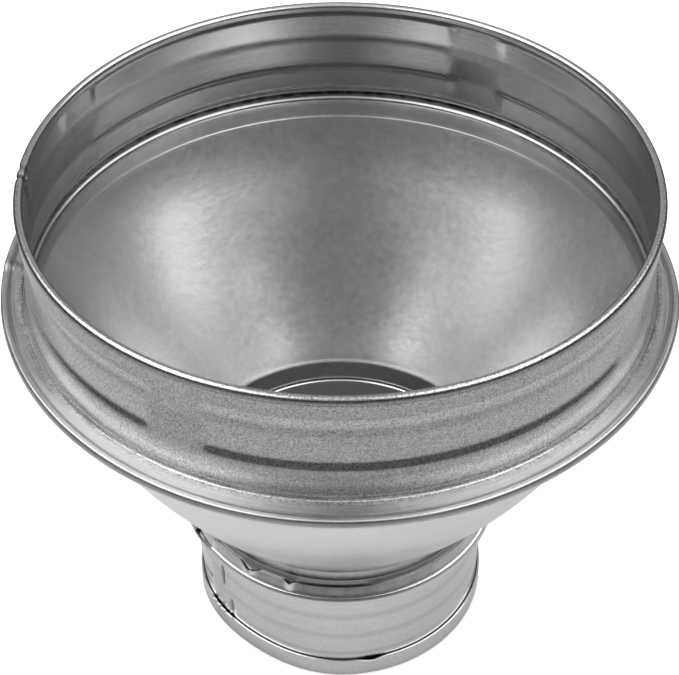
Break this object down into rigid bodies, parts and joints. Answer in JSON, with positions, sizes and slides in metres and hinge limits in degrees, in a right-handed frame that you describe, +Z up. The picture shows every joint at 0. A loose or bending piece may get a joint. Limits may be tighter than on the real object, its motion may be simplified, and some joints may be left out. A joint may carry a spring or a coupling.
{
  "type": "duct reducer",
  "caption": "Round sheet-steel duct reducer: a large spigot with pressed ribs and a rolled rim, a cone, and a small spigot, joined by folded lock seams.",
  "frame": {"origin": "middle of the ring the reducer stands on, at the foot of the small spigot", "axes": "+Z up along the axis of the duct, from the small spigot to the large one; -Y faces the camera of the picture"},
  "size_m": [0.2144, 0.2144, 0.177],
  "materials": {
    "zinc_large_collar": "satin zinc coat",
    "zinc_cone": "satin zinc coat",
    "zinc_small_collar": "satin zinc coat"
  },
  "bodies": {
    "root": {"large_collar": "zinc_large_collar", "reducer_cone": "zinc_cone", "small_collar": "zinc_small_collar"}
  },
  "joints": []
}
